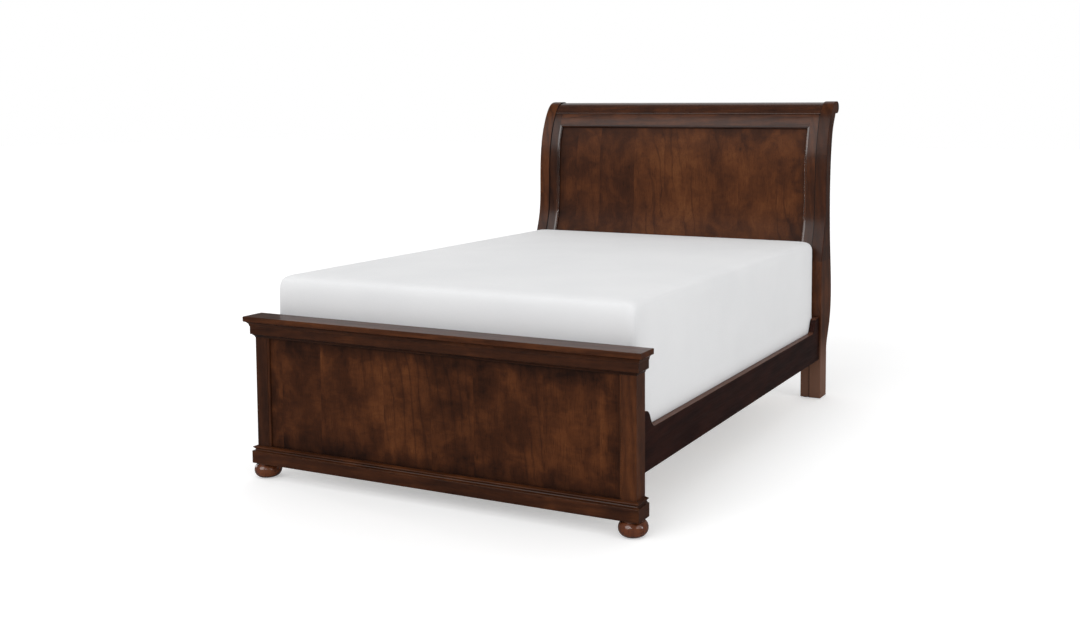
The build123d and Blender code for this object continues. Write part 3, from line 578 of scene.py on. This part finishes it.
def softBlock(name, low, high, look):
    size = high - low
    mesh = bmesh.new()
    bmesh.ops.create_cube(mesh, size=1.0)
    shrink = 2 * look["start"]
    bmesh.ops.scale(mesh, vec=(size.x - shrink, size.y - shrink, size.z - shrink), verts=mesh.verts)
    bmesh.ops.translate(mesh, vec=(low + high) / 2, verts=mesh.verts)
    upright = [e for e in mesh.edges if abs(e.verts[0].co.z - e.verts[1].co.z) > size.z / 2]
    roundOff(mesh, upright, look["corner"], bevelSteps["corner"])
    rims = [e for e in mesh.edges if len({round(v.co.z, 4) for v in e.verts}) == 1
            and any(abs(f.normal.z) > levelFace for f in e.link_faces)]
    roundOff(mesh, rims, look["rim"], bevelSteps["rim"])
    data = bpy.data.meshes.new(name)
    mesh.to_mesh(data)
    mesh.free()
    obj = addObject(name, data)
    remesh = obj.modifiers.new("even mesh", "REMESH")
    remesh.mode = "VOXEL"
    remesh.voxel_size = look["voxel"]
    keepResult(obj)
    return obj


def keepResult(obj):
    graph = bpy.context.evaluated_depsgraph_get()
    result = bpy.data.meshes.new_from_object(obj.evaluated_get(graph))
    old = obj.data
    obj.modifiers.clear()
    obj.data = result
    bpy.data.meshes.remove(old)


def swell(obj, look):
    cloth = obj.modifiers.new("swell", "CLOTH")
    settings = cloth.settings
    settings.quality = clothSolver["quality"]
    settings.tension_stiffness = look["stiff"]
    settings.compression_stiffness = look["stiff"]
    settings.shear_stiffness = look["stiff"] / 2
    settings.bending_stiffness = clothSolver["bending"]
    settings.use_pressure = True
    settings.uniform_pressure_force = look["pressure"]
    settings.effector_weights.gravity = 0.0
    cloth.point_cache.frame_start = 1
    cloth.point_cache.frame_end = clothSolver["frames"]
    for step in range(1, clothSolver["frames"] + 1):
        bpy.context.scene.frame_set(step)
    graph = bpy.context.evaluated_depsgraph_get()
    swollen = [v.co.copy() for v in obj.evaluated_get(graph).data.vertices]
    obj.modifiers.remove(cloth)
    for vertex, target in zip(obj.data.vertices, swollen):
        move = target - vertex.co
        if move.length > look["cap"]:
            move *= look["cap"] / move.length
        vertex.co += move
    bpy.context.scene.frame_set(1)


def settle(obj, low, high, look):
    # filled out to its own space, squared off along the bottom and kept inside that space
    mesh = bmesh.new()
    mesh.from_mesh(obj.data)
    for _ in range(look["smooth"]):
        bmesh.ops.smooth_vert(mesh, verts=mesh.verts, factor=0.5,
                              use_axis_x=True, use_axis_y=True, use_axis_z=True)
    middle = (low + high) / 2
    for axis in range(3):
        reach = [vertex.co[axis] for vertex in mesh.verts]
        least = min(reach)
        grow = (high[axis] - low[axis]) / (max(reach) - least)
        for vertex in mesh.verts:
            vertex.co[axis] = low[axis] + (vertex.co[axis] - least) * grow
    for vertex in mesh.verts:
        share = min(max((vertex.co.z - low.z) / look["squared"], 0.0), 1.0)
        push = look["push"] * (1.0 - share) ** 2
        for axis in (0, 1):
            away = (vertex.co[axis] - middle[axis]) / (high[axis] - middle[axis])
            vertex.co[axis] += push * away ** pushPower
        vertex.co.z -= push * dropShare
        for axis in range(3):
            vertex.co[axis] = min(max(vertex.co[axis], low[axis]), high[axis])
    mesh.to_mesh(obj.data)
    mesh.free()
    for face in obj.data.polygons:
        face.use_smooth = True
    finer = obj.modifiers.new("finer", "SUBSURF")
    finer.levels = 1
    finer.render_levels = 1


mattressLook = {
    "voxel": 0.020, "start": 0.005, "corner": 0.024, "rim": 0.030, "cap": 0.005, "pressure": 6.0,
    "stiff": 10.0, "smooth": 1, "crown": 0.010, "spare": 0.008, "squared": 0.07, "push": 0.075,
}
mattressLow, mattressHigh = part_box("mattress")
spare = Vector((mattressLook["spare"], mattressLook["spare"], 0.0))
mattressLow -= spare
mattressHigh += spare
mattress = softBlock("mattress_cover", mattressLow, mattressHigh, mattressLook)
swell(mattress, mattressLook)
settle(mattress, mattressLow, mattressHigh + Vector((0, 0, mattressLook["crown"])), mattressLook)
dress(mattress, clothMaterial("mattress_knit_cloth", knitLook))
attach(mattress, "mattress")
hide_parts("mattress")
print("mattress made,", len(mattress.data.polygons), "faces")

foundationLook = {
    "voxel": 0.018, "start": 0.007, "corner": 0.050, "rim": 0.012, "cap": 0.009, "pressure": 4.0,
    "stiff": 12.0, "smooth": 1, "squared": 0.05, "push": 0.012,
}
foundationLow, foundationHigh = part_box("foundation")
foundation = softBlock("foundation_cover", foundationLow, foundationHigh, foundationLook)
swell(foundation, foundationLook)
settle(foundation, foundationLow, foundationHigh, foundationLook)
dress(foundation, clothMaterial("foundation_weave", wovenLook))
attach(foundation, "foundation")
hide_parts("foundation")
print("foundation made,", len(foundation.data.polygons), "faces")


# floor, light and camera

floorLight = {"seen": 0.80, "fill": 0.90, "mirrored": 0.15, "glow": 0.37}
roomLight = {"seen": 1.0, "fill": 0.70, "mirrored": 0.12}
floorSize = 40.0
floorTint = {"scale": 1.5, "detail": 3.0}
floorTintRange = (0.3, 0.7, 0.98, 1.0)
floorFinish = {"Roughness": 0.9, "Specular IOR Level": 0.1}
white = (1.0, 1.0, 1.0, 1.0)


def rayLevel(tree, light):  # how bright the studio is to the camera, as fill light and in reflections
    ray = add(tree, "ShaderNodeLightPath")
    glossy = add(tree, "ShaderNodeMapRange", {
        "Value": ray.outputs["Is Glossy Ray"], "To Min": light["fill"], "To Max": light["mirrored"],
    })
    return add(tree, "ShaderNodeMapRange", {
        "Value": ray.outputs["Is Camera Ray"], "To Min": glossy.outputs["Result"], "To Max": light["seen"],
    }).outputs["Result"]


def stageFloor():
    mesh = bmesh.new()
    bmesh.ops.create_grid(mesh, x_segments=1, y_segments=1, size=floorSize)
    data = bpy.data.meshes.new("floor")
    mesh.to_mesh(data)
    mesh.free()
    floor = addObject("floor", data)
    material, tree = newTree("pale_floor")
    place = add(tree, "ShaderNodeTexCoord").outputs["Object"]
    tint = spread(tree, noise(tree, place, **floorTint), *floorTintRange)
    level = calc(tree, "MULTIPLY", rayLevel(tree, floorLight), tint)
    pale = add(tree, "ShaderNodeCombineColor", {0: level, 1: level, 2: level})
    toCamera = add(tree, "ShaderNodeLightPath").outputs["Is Camera Ray"]
    glow = calc(tree, "MULTIPLY", toCamera, floorLight["glow"])
    shade(tree, {
        "Base Color": pale.outputs[0], "Emission Color": white, "Emission Strength": glow, **floorFinish,
    })
    dress(floor, material)


stageFloor()

lamps = {
    "keyLight": {"place": (-2.2, -5.5, 4.6), "angle": 40, "power": 0.86},
    "sideLight": {"place": (6.0, -1.5, 5.0), "angle": 40, "power": 0.30},
    "backLight": {"place": (-2.0, 6.0, 5.0), "angle": 50, "power": 0.25},
    "leftStrip": {"place": (-4.6, -0.4, 1.5), "size": (0.16, 2.4), "power": 20.0},
    "rightStrip": {"place": (4.8, -0.6, 1.5), "size": (0.16, 2.4), "power": 11.0},
    "frontBoxOne": {"place": (0.5, -5.2, 2.5), "size": (0.15, 0.15), "power": 5.0},
    "frontBoxTwo": {"place": (1.3, -5.2, 2.5), "size": (0.15, 0.15), "power": 5.0},
    "rightBox": {"place": (4.2, -3.2, 2.3), "size": (0.15, 0.15), "power": 5.0},
}
lampTarget = Vector((0.0, 0.0, 0.8))
for name, look in lamps.items():
    lamp = bpy.data.lights.new(name, "SUN" if "angle" in look else "AREA")
    lamp.energy = look["power"]
    if "angle" in look:
        lamp.angle = math.radians(look["angle"])
    else:
        lamp.shape = "RECTANGLE"
        lamp.size, lamp.size_y = look["size"]
    holder = addObject(name, lamp)
    holder.location = look["place"]
    holder.rotation_euler = (lampTarget - Vector(look["place"])).to_track_quat("-Z", "Y").to_euler()

world = bpy.data.worlds.new("studio")
bpy.context.scene.world = world
world.use_nodes = True
sky = world.node_tree
sky.nodes.clear()
backdrop = add(sky, "ShaderNodeBackground", {"Color": white, "Strength": rayLevel(sky, roomLight)})
sky.links.new(backdrop.outputs[0], add(sky, "ShaderNodeOutputWorld").inputs["Surface"])

view = {
    "place": (2.461, -4.683, 1.418), "turn": 24.71, "tip": 4.39, "shift": (-0.100, -0.110),
    "lens": 39.84, "sensor": 36.0, "far": 200.0,
}
lens = bpy.data.cameras.new("camera")
lens.sensor_width = view["sensor"]
lens.lens = view["lens"]
lens.shift_x, lens.shift_y = view["shift"]
lens.clip_end = view["far"]
camera = addObject("camera", lens)
camera.location = view["place"]
camera.rotation_euler = (math.radians(90 - view["tip"]), 0.0, math.radians(view["turn"]))
bpy.context.scene.camera = camera
bpy.context.scene.view_settings.view_transform = "Standard"
print("floor, lights and camera set")
